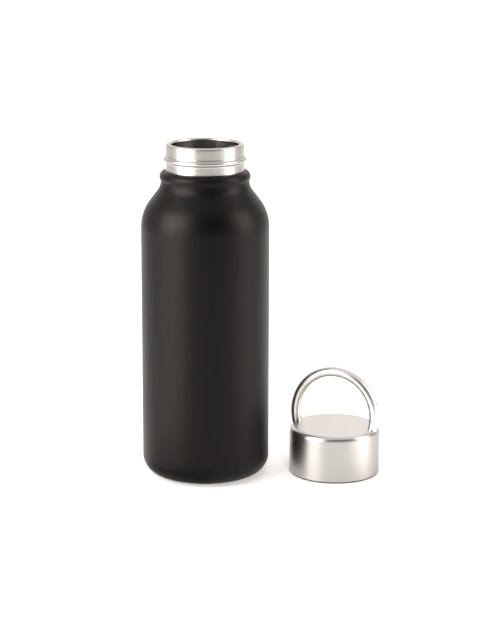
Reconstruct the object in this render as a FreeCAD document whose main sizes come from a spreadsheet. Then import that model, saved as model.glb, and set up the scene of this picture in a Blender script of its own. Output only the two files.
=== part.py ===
import FreeCAD, Part
import math
import os
import re

import Sketcher

# Vacuum insulated water bottle with its screw lid standing beside it.
# The origin is the centre of the bottle's foot on the floor, and +Z runs up the bottle's axis.
# The lid stands upright at +X. Each lid piece is drawn about the lid's own axis, then moved there.

# ---------------------------------------------------------------- sizes, in millimetres and degrees

SIZES = [
    ("body_radius", 37),
    ("outer_thickness", 0.8),
    ("outer_seam_height", 12),
    ("base_corner_arc", 10.6),
    ("base_recess_radius", 22),
    ("base_recess_height", 4),
    ("foot_edge", 1),
    ("pump_hole_radius", 1.5),
    ("shoulder_height", 146.5),
    ("shoulder_arc", 25),
    ("shoulder_angle", 37),
    ("waist_radius", 25.5),
    ("waist_arc", 8.5),
    ("collar_radius", 26.2),
    ("collar_arc", 3.6),
    ("collar_blend", 1.2),
    ("collar_height", 175.8),
    ("weld_gap", 0.02),
    ("neck_radius", 22.6),
    ("neck_thickness", 0.7),
    ("neck_foot_height", 171),
    ("bead_radius", 23.95),
    ("bead_arc", 1.3),
    ("bead_blend", 1.3),
    ("bead_height", 185.9),
    ("rim_height", 194.8),
    ("rim_roll", 1.4),
    ("flask_radius", 32.7),
    ("flask_thickness", 0.6),
    ("flask_seam_height", 22),
    ("flask_base_height", 13),
    ("flask_base_arc", 8),
    ("flask_neck_radius", 19.9),
    ("flask_neck_blend", 6),
    ("mouth_lip_arc", 1.1),
    ("mouth_land_foot", 188.9),
    ("mouth_land_step", 0.22),
    ("thread_pitch", 3),
    ("mouth_thread_height", 182.2),
    ("mouth_thread_turns", 1.75),
    ("mouth_thread_half_width", 1.1),
    ("mouth_thread_root_radius", 19.2),
    ("mouth_thread_arc", 1.15),
    ("thread_overlap", 0.3),
    ("foil_gap", 0.05),
    ("foil_thickness", 0.15),
    ("foil_foot_height", 24),
    ("foil_top_height", 145),
    ("getter_offset", 12),
    ("getter_radius", 4),
    ("getter_height", 2.4),
    ("getter_edge_arc", 0.4),
    ("getter_gap", 0.1),
    ("clip_thickness", 0.4),
    ("clip_width", 5),
    ("clip_foot_length", 3),
    ("plug_head_radius", 3),
    ("plug_head_height", 1.1),
    ("plug_stem_gap", 0.05),
    ("cover_gap", 0.1),
    ("cover_thickness", 0.6),
    ("cover_height", 0.9),
    ("cover_edge_arc", 1),
    ("lid_x", 75.8),
    ("lid_y", -1.1),
    ("lid_turn", -22),
    ("lid_radius", 26.4),
    ("lid_height", 27.8),
    ("lid_thickness", 0.6),
    ("lid_edge_arc", 3),
    ("lid_shell_foot", 0.9),
    ("core_gap", 0.05),
    ("core_rim_radius", 26.1),
    ("core_rim_edge", 0.3),
    ("skirt_bore_radius", 24.4),
    ("skirt_lead_in", 0.5),
    ("seal_seat_height", 17),
    ("core_bridge_top", 19.2),
    ("core_step_height", 21),
    ("core_shoulder_radius", 24.6),
    ("core_shoulder_height", 25.6),
    ("core_top_radius", 23.2),
    ("core_well_radius", 19.2),
    ("stopper_radius", 18.1),
    ("stopper_bore_radius", 16.6),
    ("stopper_foot_height", 1.7),
    ("stopper_thread_height", 3.9),
    ("stopper_thread_turns", 1.25),
    ("stopper_thread_half_width", 0.65),
    ("stopper_thread_flank_radius", 18.7),
    ("stopper_thread_crest_half_width", 0.5),
    ("stopper_thread_arc", 0.52),
    ("cap_foot_height", 0.7),
    ("cap_flange_radius", 18),
    ("cap_edge", 0.5),
    ("cap_spigot_top", 3.2),
    ("foam_gap", 0.1),
    ("seal_bore_radius", 18.4),
    ("seal_radius", 22.7),
    ("seal_thickness", 2.05),
    ("seal_edge_arc", 0.5),
    ("handle_half_width", 24.45),
    ("handle_rise", 25.6),
    ("handle_level", 34.6),
    ("handle_rod_radius", 2.78),
    ("handle_foot_angle", 23),
    ("handle_hole_gap", 0.05),
    ("handle_socket_gap", 0.15),
    ("handle_socket_extra_angle", 1.5),
]

doc = FreeCAD.newDocument("water_bottle")
dims = doc.addObject("Spreadsheet::Sheet", "dims")
for row, (alias, value) in enumerate(SIZES, start=1):
    dims.set(f"A{row}", alias)
    dims.set(f"B{row}", str(value))
    dims.setAlias(f"B{row}", alias)
doc.recompute()

ALIASES = re.compile(r"\b(" + "|".join(alias for alias, _ in SIZES) + r")\b")


def bound(expression):
    """The expression with every size name pointed at the sheet."""
    return ALIASES.sub(r"dims.\1", expression)


def measure(expression):
    """The expression's value in the sheet's present sizes."""
    return float(dims.evalExpression(bound(expression)))


# ---------------------------------------------------------------- sketch and feature helpers

def new_body(label, on_lid=False):
    """An empty body; a lid piece also gets the lid's place on the floor."""
    body = doc.addObject("PartDesign::Body", label)
    body.Label = label
    if on_lid:
        body.Placement = FreeCAD.Placement(
            FreeCAD.Vector(measure("lid_x"), measure("lid_y"), 0),
            FreeCAD.Rotation(FreeCAD.Vector(0, 0, 1), measure("lid_turn")),
        )
        body.setExpression("Placement.Base.x", bound("lid_x"))
        body.setExpression("Placement.Base.y", bound("lid_y"))
        body.setExpression("Placement.Rotation.Angle", bound("lid_turn"))
    return body


def origin_plane(body, role):
    """The body's own origin plane with that role."""
    for feature in body.Origin.OriginFeatures:
        if feature.Role == role:
            return feature
    raise RuntimeError(f"{body.Label} has no {role}")


def new_sketch(body, name, role="XZ_Plane"):
    """A sketch on one of the body's origin planes."""
    sketch = body.newObject("Sketcher::SketchObject", name)
    sketch.AttachmentSupport = [(origin_plane(body, role), "")]
    sketch.MapMode = "FlatFace"
    return sketch


def bind(sketch, constraint, expression):
    """Add a constraint whose value follows the sheet."""
    index = sketch.addConstraint(constraint)
    sketch.setExpression(f"Constraints[{index}]", bound(expression))


def pin_point(sketch, geometry, point, across, up):
    """Hold one end of a curve at bound coordinates."""
    if across == "0":
        sketch.addConstraint(Sketcher.Constraint("PointOnObject", geometry, point, -2))
    else:
        value = measure(across)
        bind(sketch, Sketcher.Constraint("DistanceX", -1, 1, geometry, point, value), across)
    if up == "0":
        sketch.addConstraint(Sketcher.Constraint("PointOnObject", geometry, point, -1))
    else:
        value = measure(up)
        bind(sketch, Sketcher.Constraint("DistanceY", -1, 1, geometry, point, value), up)


def arc_geometry(start, end, radius, side):
    """The arc from start to end whose centre lies left (+1) or right (-1) of the way there."""
    half = (end - start) * 0.5
    reach = math.sqrt(max(radius ** 2 - half.Length ** 2, 0))
    left = FreeCAD.Vector(-half.y, half.x, 0).normalize()
    centre = start + half + left * reach * side
    first, last = (start, end) if side > 0 else (end, start)
    angles = [math.atan2(p.y - centre.y, p.x - centre.x) for p in (first, last)]
    if angles[1] < angles[0]:
        angles[1] += 2 * math.pi
    return Part.ArcOfCircle(Part.Circle(centre, FreeCAD.Vector(0, 0, 1), radius), *angles)


def draw_chain(sketch, chain, closed=True):
    """Draw corners joined by lines or arcs. A corner is (across, up) or, when it is reached
    along an arc, (across, up, radius, side)."""
    corners = [FreeCAD.Vector(measure(c[0]), measure(c[1]), 0) for c in chain]
    first_segment = 0 if closed else 1
    ends = []
    for index in range(first_segment, len(chain)):
        start, end = corners[index - 1], corners[index]
        corner = chain[index]
        if len(corner) == 2:
            geometry = sketch.addGeometry(Part.LineSegment(start, end), False)
            ends.append((geometry, 1, 2))
            continue
        radius, side = corner[2], corner[3]
        curve = arc_geometry(start, end, measure(radius), side)
        geometry = sketch.addGeometry(curve, False)
        ends.append((geometry, 1, 2) if side > 0 else (geometry, 2, 1))
        bind(sketch, Sketcher.Constraint("Radius", geometry, measure(radius)), radius)
    for before, after in zip(ends, ends[1:]):
        sketch.addConstraint(Sketcher.Constraint("Coincident", before[0], before[2], after[0], after[1]))
    if closed:
        last, first = ends[-1], ends[0]
        sketch.addConstraint(Sketcher.Constraint("Coincident", last[0], last[2], first[0], first[1]))
    else:
        pin_point(sketch, ends[0][0], ends[0][1], chain[0][0], chain[0][1])
    for (geometry, _, point), corner in zip(ends, chain[first_segment:]):
        pin_point(sketch, geometry, point, corner[0], corner[1])


def backwards(chain):
    """The same corners walked the other way."""
    walked = []
    for index in range(len(chain) - 1, -1, -1):
        arc = chain[index + 1][2:] if index + 1 < len(chain) else ()
        corner = chain[index][:2]
        walked.append(corner + ((arc[0], -arc[1]) if arc else ()))
    return walked


def revolve(body, chain):
    """A solid of revolution about the body's Z axis."""
    sketch = new_sketch(body, body.Name + "_section")
    draw_chain(sketch, chain)
    turned = body.newObject("PartDesign::Revolution", body.Name + "_turned")
    turned.Profile = sketch
    turned.ReferenceAxis = (sketch, ["V_Axis"])
    turned.Angle = 360
    doc.recompute()
    return turned


def circle_edges(feature, spots):
    """Names of the full circles at the given (radius, height) pairs."""
    names = []
    for index, edge in enumerate(feature.Shape.Edges, start=1):
        curve = edge.Curve
        if not isinstance(curve, Part.Circle):
            continue
        for radius, height in spots:
            same_radius = abs(curve.Radius - measure(radius)) < 0.001
            if same_radius and abs(curve.Center.z - measure(height)) < 0.001:
                names.append(f"Edge{index}")
    return names


def soften(body, feature, spots, radius):
    """Round the circular edges at the given spots."""
    rounded = body.newObject("PartDesign::Fillet", body.Name + "_rounded")
    rounded.Base = (feature, circle_edges(feature, spots))
    rounded.setExpression("Radius", bound(radius))
    doc.recompute()
    return rounded


def add_thread(body, section, height, turns):
    """A right-hand ridge of the given section wound up the body's Z axis."""
    sketch = new_sketch(body, body.Name + "_ridge")
    draw_chain(sketch, [(c[0], f"{height} + {c[1]}") + tuple(c[2:]) for c in section])
    ridge = body.newObject("PartDesign::AdditiveHelix", body.Name + "_thread")
    ridge.Profile = sketch
    ridge.ReferenceAxis = (sketch, ["V_Axis"])
    ridge.Mode = "pitch-turns-angle"
    ridge.setExpression("Pitch", bound("thread_pitch"))
    ridge.setExpression("Turns", bound(turns))
    ridge.LeftHanded = False
    doc.recompute()
    return ridge


def handle_rod(body, kind, radius, foot_angle):
    """Sweep a round section along the handle's arch, as added or cut material.
    The arch is a three-centred curve: a tighter top arc and a wider arc down each side."""
    centre_shift = "((handle_rise - handle_half_width) / (2 - sqrt(2)))"
    top_arc = f"(handle_rise - {centre_shift})"
    side_arc = f"(handle_half_width + {centre_shift})"
    path = new_sketch(body, body.Name + "_arch")
    draw_chain(
        path,
        [
            ("0", "handle_level + handle_rise"),
            (
                f"{side_arc} * cos(45) - {centre_shift}",
                f"handle_level + {side_arc} * sin(45)",
                top_arc,
                -1,
            ),
            (
                f"{side_arc} * cos({foot_angle}) - {centre_shift}",
                f"handle_level - {side_arc} * sin({foot_angle})",
                side_arc,
                -1,
            ),
        ],
        closed=False,
    )
    section = new_sketch(body, body.Name + "_rod", "YZ_Plane")
    level = "handle_level + handle_rise"
    circle = Part.Circle(FreeCAD.Vector(0, measure(level), 0), FreeCAD.Vector(0, 0, 1), measure(radius))
    geometry = section.addGeometry(circle, False)
    pin_point(section, geometry, 3, "0", level)
    bind(section, Sketcher.Constraint("Radius", geometry, measure(radius)), radius)
    doc.recompute()
    half = body.newObject(f"PartDesign::{kind}Pipe", body.Name + "_half_arch")
    half.Profile = section
    half.Spine = (path, ["Edge1", "Edge2"])
    doc.recompute()
    both = body.newObject("PartDesign::Mirrored", body.Name + "_whole_arch")
    both.Originals = [half]
    both.MirrorPlane = (path, ["V_Axis"])
    body.Tip = both
    doc.recompute()
    return both


# ---------------------------------------------------------------- shared wall curves

def outer_wall_curve(inward):
    """The black wall from its seam up over the shoulder, the waist and the collar bead."""
    arc_centre = "(body_radius - shoulder_arc)"
    shoulder = f"(shoulder_arc - {inward})"
    waist_centre = "(waist_radius + waist_arc)"
    waist = f"(waist_arc + {inward})"
    slope_top = "(waist_radius + waist_arc * (1 - cos(shoulder_angle)))"
    slope_foot = f"({arc_centre} + shoulder_arc * cos(shoulder_angle))"
    waist_height = (
        "(shoulder_height + (shoulder_arc + waist_arc) * sin(shoulder_angle)"
        f" + ({slope_foot} - {slope_top}) / tan(shoulder_angle))"
    )
    collar_centre = "(collar_radius - collar_arc)"
    collar = f"(collar_arc - {inward})"
    reach = "(collar_arc + collar_blend)"
    aside = f"(waist_radius + collar_blend - {collar_centre})"
    drop = f"sqrt({reach} ^ 2 - {aside} ^ 2)"
    lip = "(neck_radius + weld_gap)"
    return [
        (f"body_radius - {inward}", "outer_seam_height"),
        (f"body_radius - {inward}", "shoulder_height"),
        (
            f"{arc_centre} + {shoulder} * cos(shoulder_angle)",
            f"shoulder_height + {shoulder} * sin(shoulder_angle)",
            shoulder,
            1,
        ),
        (
            f"{waist_centre} - {waist} * cos(shoulder_angle)",
            f"{waist_height} - {waist} * sin(shoulder_angle)",
        ),
        (f"{waist_centre} - {waist}", waist_height, waist, -1),
        (f"waist_radius - {inward}", f"collar_height - {drop}"),
        (
            f"{collar_centre} + {collar} * {aside} / {reach}",
            f"collar_height - {collar} * {drop} / {reach}",
            f"collar_blend + {inward}",
            -1,
        ),
        (lip, f"collar_height + sqrt({collar} ^ 2 - ({lip} - {collar_centre}) ^ 2)", collar, 1),
    ]


def outer_base_curve(inward):
    """The pressed bottom cup from its seam down round the corner, the foot and the recess."""
    recess = f"(base_recess_radius + {inward})"
    return [
        (f"body_radius - {inward}", "outer_seam_height"),
        (f"body_radius - {inward}", "base_corner_arc"),
        ("body_radius - base_corner_arc", f"0 + {inward}", f"base_corner_arc - {inward}", -1),
        (recess, f"0 + {inward}"),
        (recess, f"base_recess_height + {inward}"),
        ("pump_hole_radius", f"base_recess_height + {inward}"),
    ]


def neck_curve(inward):
    """The bare neck from its foot up over the rolled bead and round the rim."""
    bead_centre = "(bead_radius - bead_arc)"
    bead = f"(bead_arc - {inward})"
    reach = "(bead_arc + bead_blend)"
    aside = f"(neck_radius + bead_blend - {bead_centre})"
    half = f"sqrt({reach} ^ 2 - {aside} ^ 2)"
    crest = f"{bead_centre} + {bead} * {aside} / {reach}"
    blend = f"bead_blend + {inward}"
    return [
        (f"neck_radius - {inward}", "neck_foot_height"),
        (f"neck_radius - {inward}", f"bead_height - {half}"),
        (crest, f"bead_height - {bead} * {half} / {reach}", blend, -1),
        (crest, f"bead_height + {bead} * {half} / {reach}", bead, 1),
        (f"neck_radius - {inward}", f"bead_height + {half}", blend, -1),
        (f"neck_radius - {inward}", "rim_height - rim_roll"),
        ("neck_radius - rim_roll", f"rim_height - {inward}", f"rim_roll - {inward}", 1),
    ]


MOUTH_RADIUS = "flask_neck_radius - flask_thickness + mouth_land_step"
LIP_CENTRE = f"({MOUTH_RADIUS} + mouth_lip_arc)"


def lip_height(radius):
    """The height of the mouth's rounded lip at a radius between the mouth and the lip's crown."""
    return f"rim_height - mouth_lip_arc + sqrt(mouth_lip_arc ^ 2 - ({LIP_CENTRE} - ({radius})) ^ 2)"


def neck_section():
    """The neck's wall, with its top rounded over towards the mouth where the flask joins it."""
    joint = "flask_neck_radius + weld_gap"
    lip = [
        (LIP_CENTRE, "rim_height"),
        (joint, lip_height(joint), "mouth_lip_arc", 1),
        (joint, "rim_height - neck_thickness"),
    ]
    return neck_curve("0") + lip + backwards(neck_curve("neck_thickness"))


def flask_curve(inward):
    """The inner flask from its seam up over its shoulder to the mouth."""
    arc_centre = "(body_radius - shoulder_arc)"
    arc = f"(flask_radius - {arc_centre})"
    shoulder = f"({arc} - {inward})"
    blend_centre = "(flask_neck_radius + flask_neck_blend)"
    blend = f"(flask_neck_blend + {inward})"
    slope_foot = f"({arc_centre} + {arc} * cos(shoulder_angle))"
    slope_top = "(flask_neck_radius + flask_neck_blend * (1 - cos(shoulder_angle)))"
    neck_height = (
        f"(shoulder_height + ({arc} + flask_neck_blend) * sin(shoulder_angle)"
        f" + ({slope_foot} - {slope_top}) / tan(shoulder_angle))"
    )
    return [
        (f"flask_radius - {inward}", "flask_seam_height"),
        (f"flask_radius - {inward}", "shoulder_height"),
        (
            f"{arc_centre} + {shoulder} * cos(shoulder_angle)",
            f"shoulder_height + {shoulder} * sin(shoulder_angle)",
            shoulder,
            1,
        ),
        (
            f"{blend_centre} - {blend} * cos(shoulder_angle)",
            f"{neck_height} - {blend} * sin(shoulder_angle)",
        ),
        (f"{blend_centre} - {blend}", neck_height, blend, -1),
        (f"flask_neck_radius - {inward}", "rim_height"),
    ]


def flask_section():
    """The flask's wall, with a rounded lip and a wider plain land above the thread."""
    outside = flask_curve("0")[:-1] + [("flask_neck_radius", lip_height("flask_neck_radius"))]
    inside = flask_curve("flask_thickness")
    land = [
        (MOUTH_RADIUS, "rim_height - mouth_lip_arc", "mouth_lip_arc", 1),
        (MOUTH_RADIUS, "mouth_land_foot"),
        ("flask_neck_radius - flask_thickness", "mouth_land_foot"),
    ]
    return outside + land + backwards(inside)[1:]


def flask_base_curve(inward):
    """The inner flask's welded bottom from its seam to the axis."""
    corner = "(flask_radius - flask_base_arc)"
    return [
        (f"flask_radius - {inward}", "flask_seam_height"),
        (f"flask_radius - {inward}", "flask_base_height + flask_base_arc"),
        (corner, f"flask_base_height + {inward}", f"flask_base_arc - {inward}", -1),
        ("0", f"flask_base_height + {inward}"),
    ]


def sheet_metal(curve, thickness):
    """A closed section of even thickness from a wall curve."""
    return curve("0") + backwards(curve(thickness))


# ---------------------------------------------------------------- bottle

outer_wall = new_body("outer_wall")
revolve(outer_wall, sheet_metal(outer_wall_curve, "outer_thickness"))

outer_base = new_body("outer_base")
base_turned = revolve(outer_base, sheet_metal(outer_base_curve, "outer_thickness"))
soften(outer_base, base_turned, [("base_recess_radius", "0")], "foot_edge")

neck_sleeve = new_body("neck_sleeve")
revolve(neck_sleeve, neck_section())

inner_flask = new_body("inner_flask")
revolve(inner_flask, flask_section())
mouth_wall = "flask_neck_radius - flask_thickness + thread_overlap"
add_thread(
    inner_flask,
    [
        (mouth_wall, "-mouth_thread_half_width"),
        (mouth_wall, "mouth_thread_half_width"),
        ("mouth_thread_root_radius", "mouth_thread_half_width"),
        ("mouth_thread_root_radius", "-mouth_thread_half_width", "mouth_thread_arc", 1),
    ],
    "mouth_thread_height",
    "mouth_thread_turns",
)

inner_base = new_body("inner_base")
revolve(inner_base, sheet_metal(flask_base_curve, "flask_thickness"))

radiation_foil = new_body("radiation_foil")
foil_bore = "flask_radius + foil_gap"
revolve(
    radiation_foil,
    [
        (foil_bore, "foil_foot_height"),
        (f"{foil_bore} + foil_thickness", "foil_foot_height"),
        (f"{foil_bore} + foil_thickness", "foil_top_height"),
        (foil_bore, "foil_top_height"),
    ],
)

# The getter hangs under the inner flask's bottom, held up by a bent strap.
getter_top = "(flask_base_height - getter_gap)"
getter_foot = f"({getter_top} - getter_height)"

getter = new_body("getter")
getter_turned = revolve(
    getter,
    [
        ("0", getter_foot),
        ("getter_radius", getter_foot),
        ("getter_radius", getter_top),
        ("0", getter_top),
    ],
)
soften(
    getter,
    getter_turned,
    [("getter_radius", getter_foot), ("getter_radius", getter_top)],
    "getter_edge_arc",
)
getter.setExpression("Placement.Base.x", bound("getter_offset"))

getter_clip = new_body("getter_clip")
strap = new_sketch(getter_clip, "getter_clip_section")
strap_inside = "(getter_radius + getter_gap)"
strap_outside = f"({strap_inside} + clip_thickness)"
strap_end = f"({strap_outside} + clip_foot_length)"
strap_seat = f"({getter_foot} - getter_gap)"
strap_foot = f"({getter_top} - clip_thickness)"
draw_chain(
    strap,
    [
        (f"0 - {strap_end}", strap_foot),
        (f"0 - {strap_outside}", strap_foot),
        (f"0 - {strap_outside}", f"{strap_seat} - clip_thickness"),
        (strap_outside, f"{strap_seat} - clip_thickness"),
        (strap_outside, strap_foot),
        (strap_end, strap_foot),
        (strap_end, getter_top),
        (strap_inside, getter_top),
        (strap_inside, strap_seat),
        (f"0 - {strap_inside}", strap_seat),
        (f"0 - {strap_inside}", getter_top),
        (f"0 - {strap_end}", getter_top),
    ],
)
strap_pad = getter_clip.newObject("PartDesign::Pad", "getter_clip_strap")
strap_pad.Profile = strap
strap_pad.Midplane = True
strap_pad.setExpression("Length", bound("clip_width"))
getter_clip.setExpression("Placement.Base.x", bound("getter_offset"))

# The pump-out hole in the outer base is closed by a brazed pellet with a short stem.
vacuum_plug = new_body("vacuum_plug")
pellet_foot = "base_recess_height - plug_head_height"
revolve(
    vacuum_plug,
    [
        ("0", pellet_foot),
        ("plug_head_radius", pellet_foot),
        ("plug_head_radius", "base_recess_height"),
        ("pump_hole_radius - plug_stem_gap", "base_recess_height"),
        ("pump_hole_radius - plug_stem_gap", "base_recess_height + outer_thickness"),
        ("0", "base_recess_height + outer_thickness"),
    ],
)

base_cover = new_body("base_cover")
cover_radius = "(base_recess_radius - cover_gap)"
cover_turned = revolve(
    base_cover,
    [
        ("0", "cover_height"),
        (cover_radius, "cover_height"),
        (cover_radius, "base_recess_height"),
        (f"{cover_radius} - cover_thickness", "base_recess_height"),
        (f"{cover_radius} - cover_thickness", "cover_height + cover_thickness"),
        ("0", "cover_height + cover_thickness"),
    ],
)
soften(base_cover, cover_turned, [(cover_radius, "cover_height")], "cover_edge_arc")

# ---------------------------------------------------------------- lid

lid_shell = new_body("lid_shell", on_lid=True)
lid_bore = "(lid_radius - lid_thickness)"
lid_corner = "(lid_radius - lid_edge_arc)"
lid_side_top = "(lid_height - lid_edge_arc)"
revolve(
    lid_shell,
    [
        ("lid_radius", "lid_shell_foot"),
        ("lid_radius", lid_side_top),
        (lid_corner, "lid_height", "lid_edge_arc", 1),
        ("0", "lid_height"),
        ("0", "lid_height - lid_thickness"),
        (lid_corner, "lid_height - lid_thickness"),
        (lid_bore, lid_side_top, "lid_edge_arc - lid_thickness", -1),
        (lid_bore, "lid_shell_foot"),
    ],
)
handle_rod(lid_shell, "Subtractive", "handle_rod_radius + handle_hole_gap", "handle_foot_angle")

lid_core = new_body("lid_core", on_lid=True)
core_radius = "(lid_radius - lid_thickness - core_gap)"
core_top = "(lid_height - lid_thickness - core_gap)"
core_turned = revolve(
    lid_core,
    [
        ("stopper_bore_radius", "stopper_foot_height"),
        ("stopper_radius", "stopper_foot_height"),
        ("stopper_radius", "seal_seat_height"),
        ("skirt_bore_radius", "seal_seat_height"),
        ("skirt_bore_radius", "skirt_lead_in"),
        ("skirt_bore_radius + skirt_lead_in", "0"),
        ("core_rim_radius", "0"),
        ("core_rim_radius", "lid_shell_foot"),
        (core_radius, "lid_shell_foot"),
        (core_radius, "core_step_height"),
        ("core_shoulder_radius", "core_step_height"),
        ("core_shoulder_radius", "core_shoulder_height"),
        ("core_top_radius", core_top),
        ("core_well_radius", core_top),
        ("core_well_radius", "core_bridge_top"),
        ("stopper_bore_radius", "core_bridge_top"),
    ],
)
soften(lid_core, core_turned, [("core_rim_radius", "0")], "core_rim_edge")
stopper_wall = "stopper_radius - thread_overlap"
add_thread(
    lid_core,
    [
        (stopper_wall, "stopper_thread_half_width"),
        (stopper_wall, "-stopper_thread_half_width"),
        ("stopper_thread_flank_radius", "-stopper_thread_crest_half_width"),
        (
            "stopper_thread_flank_radius",
            "stopper_thread_crest_half_width",
            "stopper_thread_arc",
            1,
        ),
    ],
    "stopper_thread_height",
    "stopper_thread_turns",
)
handle_rod(
    lid_core,
    "Subtractive",
    "handle_rod_radius + handle_socket_gap",
    "(handle_foot_angle + handle_socket_extra_angle)",
)

stopper_cap = new_body("stopper_cap", on_lid=True)
spigot_radius = "(stopper_bore_radius - foam_gap)"
revolve(
    stopper_cap,
    [
        ("0", "cap_foot_height"),
        ("cap_flange_radius - cap_edge", "cap_foot_height"),
        ("cap_flange_radius", "cap_foot_height + cap_edge"),
        ("cap_flange_radius", "stopper_foot_height"),
        (spigot_radius, "stopper_foot_height"),
        (spigot_radius, "cap_spigot_top"),
        ("0", "cap_spigot_top"),
    ],
)

lid_insulation = new_body("lid_insulation", on_lid=True)
foam_neck = "(stopper_bore_radius - foam_gap)"
foam_head = "(core_well_radius - foam_gap)"
revolve(
    lid_insulation,
    [
        ("0", "cap_spigot_top + foam_gap"),
        (foam_neck, "cap_spigot_top + foam_gap"),
        (foam_neck, "core_bridge_top + foam_gap"),
        (foam_head, "core_bridge_top + foam_gap"),
        (foam_head, f"{core_top} - foam_gap"),
        ("0", f"{core_top} - foam_gap"),
    ],
)

lid_seal = new_body("lid_seal", on_lid=True)
seal_top = "(seal_seat_height - core_gap)"
seal_foot = f"({seal_top} - seal_thickness)"
seal_turned = revolve(
    lid_seal,
    [
        ("seal_bore_radius", seal_foot),
        ("seal_radius", seal_foot),
        ("seal_radius", seal_top),
        ("seal_bore_radius", seal_top),
    ],
)
soften(
    lid_seal,
    seal_turned,
    [("seal_bore_radius", seal_foot), ("seal_radius", seal_foot)],
    "seal_edge_arc",
)

handle_ring = new_body("handle_ring", on_lid=True)
handle_rod(handle_ring, "Additive", "handle_rod_radius", "handle_foot_angle")

# ---------------------------------------------------------------- checks and export

PIECES = [
    outer_wall,
    outer_base,
    neck_sleeve,
    inner_flask,
    inner_base,
    radiation_foil,
    getter,
    getter_clip,
    vacuum_plug,
    base_cover,
    lid_shell,
    lid_core,
    stopper_cap,
    lid_insulation,
    lid_seal,
    handle_ring,
]

doc.recompute()
for item in doc.Objects:
    if "Invalid" in item.State or "Error" in item.State:
        raise RuntimeError(f"{item.Label} did not build: {item.State}")

os.makedirs("parts", exist_ok=True)
for piece in PIECES:
    shape = piece.Shape
    if shape.isNull() or not shape.isValid() or len(shape.Solids) != 1:
        raise RuntimeError(f"{piece.Label} is not one valid solid")
    shape.exportStep(f"parts/{piece.Label}.step")
    print(f"{piece.Label}: {shape.Volume:.1f} cubic millimetres")
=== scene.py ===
import math

import bmesh
import bpy
from mathutils import Matrix, Vector


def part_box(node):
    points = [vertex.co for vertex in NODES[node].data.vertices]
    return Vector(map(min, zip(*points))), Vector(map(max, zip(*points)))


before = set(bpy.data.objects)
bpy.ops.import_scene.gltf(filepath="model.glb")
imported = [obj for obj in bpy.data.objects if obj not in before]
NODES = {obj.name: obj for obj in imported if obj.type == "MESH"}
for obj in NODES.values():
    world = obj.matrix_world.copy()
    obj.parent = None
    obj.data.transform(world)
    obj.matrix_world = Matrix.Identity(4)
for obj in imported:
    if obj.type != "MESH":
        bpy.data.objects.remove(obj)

bpy.context.view_layer.update()

# A vacuum insulated water bottle with a black powder coat, and its steel screw lid beside it.
# Every shape is the CAD node's own; the materials and the studio are made here.
# Lengths are metres in the CAD frame. Azimuth 0 is towards the camera (-Y), and 90 towards +X.

BOTTLE_AXIS = (0.0, 0.0, 0.0)
RIM_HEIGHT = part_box("neck_sleeve")[1].z
LID_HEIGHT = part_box("lid_shell")[1].z

# Steel tints: the neck's and flask lip's, the lid's side, the lid's satin top, inside the flask.
STEEL_TINT = (0.585, 0.575, 0.56)
LID_TINT = (0.49, 0.481, 0.468)
# The lid top's tint, lighter than the side's, is painted light on the top.
LID_TOP_LIT_TINT = (0.625, 0.613, 0.602)
# The darker tint inside the flask is painted shade down the bore.
FLASK_SHADE_TINT = (0.40, 0.385, 0.37)

# The world's brightness towards the camera above and below the horizon, overhead, behind, beside,
# and as the camera sees it.
FRONT_ABOVE = 0.06
FRONT_BELOW = 0.85
OVERHEAD = 1.00
BACK_LEVEL = 1.50
SIDE_LEVEL = 0.60
BACKDROP_LEVEL = 1.3
WARM = (1.0, 0.957, 0.92)

# The soft boxes aim here, and their light fades over this share of their width at each edge.
AIM = Vector((0.03, 0.0, 0.09))
BOX_FADE = 0.3

# The floor lies a hair below the feet that stand on it.
FLOOR_FRONT = -0.62
FLOOR_BACK = 1.6
FLOOR_SIDE = 0.75
FLOOR_DROP = 0.00002
FLOOR_WHITE = (0.92, 0.92, 0.92)
FLOOR_GLOW = 0.15
# Brighter patches beside the objects: azimuth, half width and fade in degrees, nearest edge, glow.
FLOOR_PATCHES = ((-59, 14, 22, 0.09, 1.7), (72, 5, 22, 0.10, 1.2))
PATCH_RISE = 0.08
# Reflections see shade on the floor in front of the bottle: its azimuth, half width and fade in
# degrees, its depth, and the distances from the bottle's axis between which it fades out.
SHADE_SECTOR = (-40, 38, 20)
SHADE_DEPTH = 0.6
SHADE_NEAR, SHADE_FAR = 0.04, 0.10

# The photograph's camera: its place, how far it looks down and its roll in degrees, its lens.
CAMERA_PLACE = (0.0259, -1.1305, 0.3667)
CAMERA_DOWN = 13.491
CAMERA_ROLL = 0.142
LENS_MM = 115.1
SENSOR_MM = 36.0


# ---------------------------------------------------------------- node helpers

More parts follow.
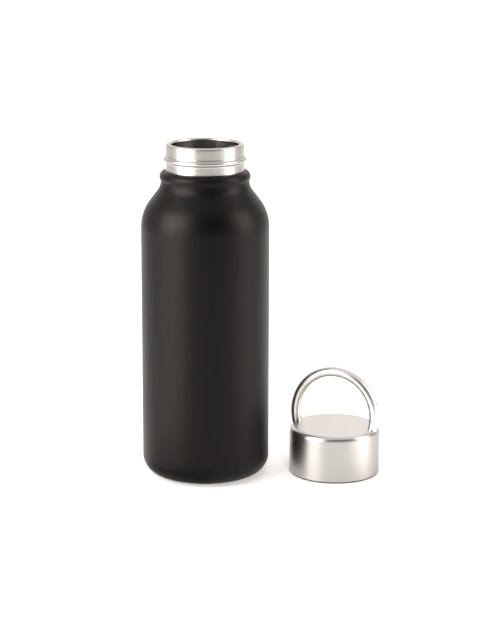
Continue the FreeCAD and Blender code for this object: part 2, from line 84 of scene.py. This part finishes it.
class Nodes:
    """Short calls for building one material's or the world's node tree."""

    def __init__(self, tree):
        self.tree = tree
        tree.nodes.clear()

    def new(self, kind, inputs=None, **settings):
        node = self.tree.nodes.new(kind)
        for name, value in settings.items():
            setattr(node, name, value)
        for key, value in (inputs or {}).items():
            socket = node.inputs[key]
            if isinstance(value, bpy.types.NodeSocket):
                self.tree.links.new(value, socket)
            else:
                socket.default_value = value
        return node

    def math(self, operation, a, b=0.0):
        return self.new("ShaderNodeMath", {0: a, 1: b}, operation=operation).outputs[0]

    def sum_of(self, a, weight_a, b, weight_b):
        first = self.math("MULTIPLY", a, weight_a)
        return self.math("ADD", first, self.math("MULTIPLY", b, weight_b))

    def mix(self, factor, a, b):
        return self.new("ShaderNodeMix", {0: factor, 2: a, 3: b}).outputs[0]

    def azimuth(self, x, y):
        return self.math("ARCTAN2", x, self.math("MULTIPLY", y, -1.0))

    def noise(self, vector, scale, detail=2.0, rough=0.5):
        node = self.new(
            "ShaderNodeTexNoise",
            {"Vector": vector, "Scale": scale, "Detail": detail, "Roughness": rough},
        )
        return node.outputs["Fac"]

    def remap(self, value, low, high, new_low, new_high, smooth=False):
        node = self.new(
            "ShaderNodeMapRange",
            {0: value, 1: low, 2: high, 3: new_low, 4: new_high},
            interpolation_type="SMOOTHSTEP" if smooth else "LINEAR",
        )
        return node.outputs[0]

    def mix_colour(self, factor, a, b):
        node = self.new("ShaderNodeMix", data_type="RGBA", blend_type="MIX")
        for index, value in ((0, factor), (6, a), (7, b)):
            socket = node.inputs[index]
            if isinstance(value, bpy.types.NodeSocket):
                self.tree.links.new(value, socket)
            else:
                socket.default_value = (*value, 1.0) if isinstance(value, tuple) else value
        return node.outputs[2]

    def place(self, offset=(0.0, 0.0, 0.0)):
        """Object coordinates, in metres, measured from a point of the CAD frame."""
        coordinates = self.new("ShaderNodeTexCoord").outputs["Object"]
        moved = self.new(
            "ShaderNodeVectorMath",
            {0: coordinates, 1: tuple(-v for v in offset)},
            operation="ADD",
        )
        return moved.outputs[0]

    def split(self, vector):
        node = self.new("ShaderNodeSeparateXYZ", {0: vector})
        return node.outputs[0], node.outputs[1], node.outputs[2]

    def stretch(self, vector, scale):
        node = self.new("ShaderNodeVectorMath", {0: vector, 1: scale}, operation="MULTIPLY")
        return node.outputs[0]

    def radius(self, vector):
        x, y, _ = self.split(vector)
        flat = self.new("ShaderNodeCombineXYZ", {0: x, 1: y, 2: 0.0}).outputs[0]
        return self.new("ShaderNodeVectorMath", {0: flat}, operation="LENGTH").outputs["Value"]

    def bump(self, height, distance, strength):
        inputs = {"Height": height, "Distance": distance, "Strength": strength}
        return self.new("ShaderNodeBump", inputs).outputs[0]

    def spread(self, noise, low, high):
        """A noise's middle values stretched to run from low to high."""
        return self.remap(noise, 0.3, 0.7, low, high)

    def surface(self, inputs):
        shader = self.new("ShaderNodeBsdfPrincipled", inputs)
        self.new("ShaderNodeOutputMaterial", {"Surface": shader.outputs[0]})


def material(name):
    made = bpy.data.materials.new(name)
    made.use_nodes = True
    return made, Nodes(made.node_tree)


def dress(names, made):
    """Give CAD nodes a material in every slot they have."""
    for name in names:
        slots = NODES[name].data.materials
        for index in range(len(slots)):
            slots[index] = made


# ---------------------------------------------------------------- materials

def axis_of(node):
    """The point on a round CAD node's own axis, at floor level."""
    low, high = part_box(node)
    middle = (low + high) / 2
    return (middle.x, middle.y, 0.0)


def darker(tint, share):
    return tuple(share * c for c in tint)


def powder_coat(name):
    """Matte black powder coat with fine grain and a slight peel."""
    made, n = material(name)
    place = n.place()
    blotch = n.noise(place, 28.0, 3.0)
    grain = n.noise(place, 2600.0, 2.0, 0.6)
    peel = n.noise(place, 700.0, 2.0, 0.5)
    deep, worn = (0.0003, 0.00026, 0.00024), (0.0006, 0.0005, 0.00045)
    speck = (0.0012, 0.0011, 0.0010)
    colour = n.mix_colour(n.spread(blotch, 0.0, 1.0), deep, worn)
    colour = n.mix_colour(n.remap(grain, 0.35, 0.75, 0.0, 0.5), colour, speck)
    rough = n.remap(blotch, 0.25, 0.75, 0.39, 0.45)
    rough = n.math("ADD", rough, n.spread(grain, -0.03, 0.03))
    height = n.sum_of(peel, 0.6, grain, 0.4)
    n.surface({
        "Base Color": colour,
        "Roughness": rough,
        "IOR": 1.265,
        "Specular Tint": (1.0, 0.94, 0.91, 1.0),
        "Sheen Weight": 0.04,
        "Sheen Roughness": 0.35,
        "Sheen Tint": (1.0, 0.86, 0.74, 1.0),
        "Normal": n.bump(height, 0.00004, 0.55),
    })
    return made


def turned_steel(name, axis, tint, rough, spread, flat=None):
    """Steel with fine turning marks round an axis.

    rough is the roughness, spread how far the marks draw reflections out up and down, and flat,
    where there is one, is a satin disc's tint, roughness and height; a lighter disc tint is
    painted light.
    """
    made, n = material(name)
    place = n.place(axis)
    _, _, z = n.split(place)
    profile = n.new("ShaderNodeCombineXYZ", {0: n.radius(place), 1: z, 2: 0.0}).outputs[0]
    lines = n.noise(n.stretch(profile, (9000.0, 9000.0, 1.0)), 1.0, 3.0, 0.65)
    bands = n.noise(n.stretch(profile, (900.0, 900.0, 1.0)), 1.0, 2.0, 0.5)
    smudge = n.noise(place, 60.0, 3.0)
    shade = n.sum_of(lines, 0.6, bands, 0.4)
    colour = n.mix_colour(n.spread(shade, 0.0, 1.0), darker(tint, 0.89), tint)
    smudged = n.spread(smudge, rough - 0.02, rough + 0.02)
    roughness = n.math("ADD", smudged, n.spread(lines, -0.02, 0.02))
    anisotropy = spread
    if flat is not None:
        flat_tint, flat_rough, flat_height = flat
        low, high = flat_height - 0.0016, flat_height - 0.0004
        on_top = n.remap(z, low, high, 0.0, 1.0, smooth=True)
        # A lighter flat tint, as on the lid, is painted light on the top; the flat's roughness is
        # its satin finish.
        colour = n.mix_colour(on_top, colour, flat_tint)
        roughness = n.mix(on_top, roughness, flat_rough)
        anisotropy = n.math("MULTIPLY", n.math("SUBTRACT", 1.0, on_top), spread)
    tangent = n.new("ShaderNodeTangent", direction_type="RADIAL", axis="Z").outputs[0]
    n.surface({
        "Base Color": colour,
        "Metallic": 1.0,
        "Roughness": roughness,
        "Anisotropic": anisotropy,
        "Anisotropic Rotation": 0.25,
        "Specular Tint": (0.75, 0.74, 0.73, 1.0),
        "Tangent": tangent,
        "Normal": n.bump(lines, 0.000004, 0.18),
    })
    return made


def fine_metal(n, place, rough):
    """The noises of a finely finished metal: its grain, its smudges, and the roughness of both."""
    fine = n.noise(place, 3000.0, 2.0, 0.6)
    smudge = n.noise(place, 90.0, 3.0)
    smudged = n.spread(smudge, rough - 0.02, rough + 0.03)
    return fine, smudge, n.math("ADD", smudged, n.spread(fine, -0.02, 0.02))


def brushed_steel(name, tint, rough, edge=0.9):
    """Finely brushed metal. edge is how bright it stays where it is seen edge on."""
    made, n = material(name)
    fine, smudge, roughness = fine_metal(n, n.place(), rough)
    n.surface({
        "Base Color": n.mix_colour(n.spread(smudge, 0.0, 1.0), darker(tint, 0.92), tint),
        "Metallic": 1.0,
        "Specular Tint": (edge, edge, edge, 1.0),
        "Roughness": roughness,
        "Normal": n.bump(fine, 0.000006, 0.2),
    })
    return made


def flask_steel(name, lip_tint, tint, rough):
    """Electropolished steel with a buffed lip, painted darker inside as shade down the bore."""
    made, n = material(name)
    place = n.place()
    _, _, z = n.split(place)
    lip = n.remap(z, RIM_HEIGHT - 0.0016, RIM_HEIGHT - 0.0008, 0.0, 1.0, smooth=True)
    fine, smudge, roughness = fine_metal(n, place, rough)
    # The inside's darker tint is painted shade down the bore; the lip keeps the steel's own tint.
    inside = n.mix_colour(n.spread(smudge, 0.0, 1.0), darker(tint, 0.9), tint)
    n.surface({
        "Base Color": n.mix_colour(lip, inside, lip_tint),
        "Metallic": 1.0,
        "Roughness": n.math("ADD", roughness, n.math("MULTIPLY", lip, 0.12)),
        "Normal": n.bump(fine, 0.000006, 0.2),
    })
    return made


def moulded(name, dark, light, rough, grain_scale, depth):
    """A moulded or pressed material with fine surface grain."""
    made, n = material(name)
    place = n.place()
    grain = n.noise(place, grain_scale, 3.0, 0.6)
    cloud = n.noise(place, 70.0, 3.0)
    n.surface({
        "Base Color": n.mix_colour(n.sum_of(grain, 0.5, cloud, 0.5), dark, light),
        "Roughness": n.spread(cloud, rough - 0.04, rough + 0.04),
        "Normal": n.bump(grain, depth, 0.6),
    })
    return made


NECK_STEEL = turned_steel("neck_steel", BOTTLE_AXIS, STEEL_TINT, rough=0.33, spread=0.55)
LID_STEEL = turned_steel(
    "lid_steel", axis_of("lid_shell"), LID_TINT, rough=0.33, spread=0.55,
    flat=(LID_TOP_LIT_TINT, 0.34, LID_HEIGHT),
)
HANDLE_STEEL = brushed_steel("handle_steel", (0.70, 0.69, 0.675), rough=0.32, edge=0.45)
FLASK_STEEL = flask_steel("flask_steel", STEEL_TINT, FLASK_SHADE_TINT, rough=0.20)
GETTER_ALLOY = moulded(
    "getter_alloy", (0.09, 0.09, 0.095), (0.20, 0.20, 0.205),
    rough=0.75, grain_scale=2400.0, depth=0.00008,
)
PLASTIC = moulded(
    "black_plastic", (0.012, 0.012, 0.012), (0.022, 0.021, 0.021),
    rough=0.42, grain_scale=3000.0, depth=0.00003,
)
SILICONE = moulded(
    "silicone", (0.36, 0.36, 0.355), (0.46, 0.46, 0.455),
    rough=0.45, grain_scale=2200.0, depth=0.00003,
)
FOAM = moulded(
    "foam", (0.72, 0.70, 0.62), (0.88, 0.86, 0.80),
    rough=0.9, grain_scale=1400.0, depth=0.0002,
)

dress(["outer_wall", "outer_base", "base_cover"], powder_coat("powder_coat"))
dress(["neck_sleeve"], NECK_STEEL)
dress(["lid_shell"], LID_STEEL)
dress(["handle_ring"], HANDLE_STEEL)
dress(["inner_flask", "inner_base"], FLASK_STEEL)
dress(["radiation_foil"], brushed_steel("foil", (0.85, 0.85, 0.86), rough=0.15))
dress(["getter"], GETTER_ALLOY)
dress(["getter_clip"], brushed_steel("clip_steel", (0.60, 0.58, 0.56), rough=0.30))
dress(["vacuum_plug"], brushed_steel("braze", (0.62, 0.48, 0.25), rough=0.38))
dress(["lid_core", "stopper_cap"], PLASTIC)
dress(["lid_insulation"], FOAM)
dress(["lid_seal"], SILICONE)


# ---------------------------------------------------------------- studio

object_light = bpy.data.collections.new("object_light")
floor_light = bpy.data.collections.new("floor_light")


def soft_window(n, value, centre, half, soft):
    """1 inside half of centre, falling smoothly to 0 over soft."""
    away = n.math("ABSOLUTE", n.math("SUBTRACT", value, centre))
    return n.remap(away, half, half + soft, 1.0, 0.0, smooth=True)


def soft_sector(n, azimuth, centre, half, soft):
    """soft_window for an azimuth in radians, with the rest in degrees."""
    return soft_window(n, azimuth, math.radians(centre), math.radians(half), math.radians(soft))


def soft_box(name, azimuth, elevation, distance, width, height, radiance):
    """A soft box with faded edges, aimed at the objects and lighting only them."""
    a, e = math.radians(azimuth), math.radians(elevation)
    away = Vector((math.sin(a) * math.cos(e), -math.cos(a) * math.cos(e), math.sin(e)))
    data = bpy.data.lights.new(name, "AREA")
    data.shape = "RECTANGLE"
    data.size, data.size_y = width, height
    data.energy = radiance * math.pi * width * height
    data.color = WARM
    data.use_nodes = True
    n = Nodes(data.node_tree)
    across, up, _ = n.split(n.new("ShaderNodeNewGeometry").outputs["Parametric"])
    fade = n.math(
        "MULTIPLY",
        soft_window(n, across, 0.5, 0.5 - BOX_FADE, BOX_FADE),
        soft_window(n, up, 0.5, 0.5 - BOX_FADE, BOX_FADE),
    )
    emission = n.new("ShaderNodeEmission", {"Strength": fade})
    n.new("ShaderNodeOutputLight", {"Surface": emission.outputs[0]})
    lamp = bpy.data.objects.new(name, data)
    lamp.location = AIM + away * distance
    lamp.rotation_euler = away.to_track_quat("Z", "Y").to_euler()
    lamp.visible_camera = False
    bpy.context.scene.collection.objects.link(lamp)
    lamp.light_linking.receiver_collection = object_light


def floor_fill(name, tilt, azimuth, spread, strength):
    """Broad sunlight that only the floor receives, tilted off straight down towards an azimuth."""
    data = bpy.data.lights.new(name, "SUN")
    data.energy = strength
    data.color = WARM
    data.angle = math.radians(spread)
    lamp = bpy.data.objects.new(name, data)
    lamp.rotation_euler = (math.radians(tilt), 0.0, math.radians(azimuth))
    bpy.context.scene.collection.objects.link(lamp)
    lamp.light_linking.receiver_collection = floor_light


def studio_world():
    """Even light from behind and the sides, darker from the camera's side.

    turn is 0 towards the camera and pi behind the objects, and z the direction's height.
    """
    world = bpy.data.worlds.new("studio")
    world.use_nodes = True
    bpy.context.scene.world = world
    n = Nodes(world.node_tree)
    seen = n.new("ShaderNodeLightPath").outputs["Is Camera Ray"]
    direction = n.new("ShaderNodeTexCoord").outputs["Generated"]
    x, y, z = n.split(direction)
    turn = n.math("ABSOLUTE", n.azimuth(x, y))
    behind = n.remap(turn, 2.1, 2.9, SIDE_LEVEL, BACK_LEVEL, smooth=True)
    to_side = n.remap(turn, 0.35, 1.9, 0.0, 1.0, smooth=True)
    overhead = n.remap(z, 0.6, 0.9, 0.0, 1.0, smooth=True)
    above = n.mix(overhead, n.mix(to_side, FRONT_ABOVE, behind), OVERHEAD)
    below = n.mix(to_side, FRONT_BELOW, behind)
    level = n.mix(n.remap(z, -0.12, 0.05, 0.0, 1.0, smooth=True), below, above)
    strength = n.mix(seen, level, BACKDROP_LEVEL)
    back = n.new("ShaderNodeBackground", {"Color": (*WARM, 1.0), "Strength": strength})
    n.new("ShaderNodeOutputWorld", {"Surface": back.outputs[0]})


def floor_material():
    """White, with a faint glow that is stronger beside the objects.

    Reflections see it darker just in front of the bottle, as if in the shade of the foot.
    """
    made, n = material("floor_white")
    place = n.place()
    x, y, _ = n.split(place)
    reach = n.radius(place)
    azimuth = n.azimuth(x, y)
    glow = FLOOR_GLOW
    for direction, half, soft, near, level in FLOOR_PATCHES:
        beside = soft_sector(n, azimuth, direction, half, soft)
        clear = n.remap(reach, near, near + PATCH_RISE, 0.0, level, smooth=True)
        glow = n.math("ADD", n.math("MULTIPLY", beside, clear), glow)
    in_front = soft_sector(n, azimuth, *SHADE_SECTOR)
    close = n.remap(reach, SHADE_NEAR, SHADE_FAR, SHADE_DEPTH, 0.0, smooth=True)
    seen = n.new("ShaderNodeLightPath").outputs["Is Camera Ray"]
    unseen = n.math("SUBTRACT", 1.0, seen)
    shaded = n.math("MULTIPLY", n.math("MULTIPLY", in_front, close), unseen)
    n.surface({
        "Base Color": n.mix_colour(shaded, FLOOR_WHITE, (0.0, 0.0, 0.0)),
        "Roughness": 0.8,
        "Specular IOR Level": 0.1,
        "Emission Color": (*WARM, 1.0),
        "Emission Strength": glow,
    })
    return made


def white_floor():
    """The flat floor the bottle and the lid stand on."""
    mesh = bpy.data.meshes.new("floor")
    bm = bmesh.new()
    corners = [
        (-FLOOR_SIDE, FLOOR_FRONT, 0.0),
        (FLOOR_SIDE, FLOOR_FRONT, 0.0),
        (FLOOR_SIDE, FLOOR_BACK, 0.0),
        (-FLOOR_SIDE, FLOOR_BACK, 0.0),
    ]
    bm.faces.new([bm.verts.new(c) for c in corners])
    bm.to_mesh(mesh)
    bm.free()
    mesh.materials.append(floor_material())
    floor = bpy.data.objects.new("floor", mesh)
    floor.location.z = -FLOOR_DROP
    bpy.context.scene.collection.objects.link(floor)
    return floor


studio_world()
for piece in NODES.values():
    object_light.objects.link(piece)
soft_box("left_box", azimuth=-59, elevation=20, distance=2.2, width=2.4, height=2.6, radiance=10)
soft_box("right_box", azimuth=79, elevation=20, distance=2.2, width=1.4, height=2.6, radiance=7)
floor_fill("fill_from_left", tilt=52, azimuth=-77, spread=70, strength=2.6)
floor_fill("fill_from_front", tilt=77, azimuth=5, spread=30, strength=5.6)
floor = white_floor()
floor_light.objects.link(floor)


# ---------------------------------------------------------------- camera

def photograph_camera():
    """The camera that was fitted to the outlines of the bottle and the lid."""
    data = bpy.data.cameras.new("camera")
    data.sensor_width = SENSOR_MM
    data.lens = LENS_MM
    data.clip_end = 50.0
    camera = bpy.data.objects.new("camera", data)
    camera.location = CAMERA_PLACE
    down = Matrix.Rotation(math.radians(90 - CAMERA_DOWN), 3, "X")
    roll = Matrix.Rotation(math.radians(CAMERA_ROLL), 3, "Z")
    camera.rotation_euler = (down @ roll).to_euler()
    bpy.context.scene.collection.objects.link(camera)
    return camera


bpy.context.scene.camera = photograph_camera()
settings = bpy.context.scene.view_settings
settings.view_transform = "Standard"
settings.look = "None"

bpy.context.view_layer.update()
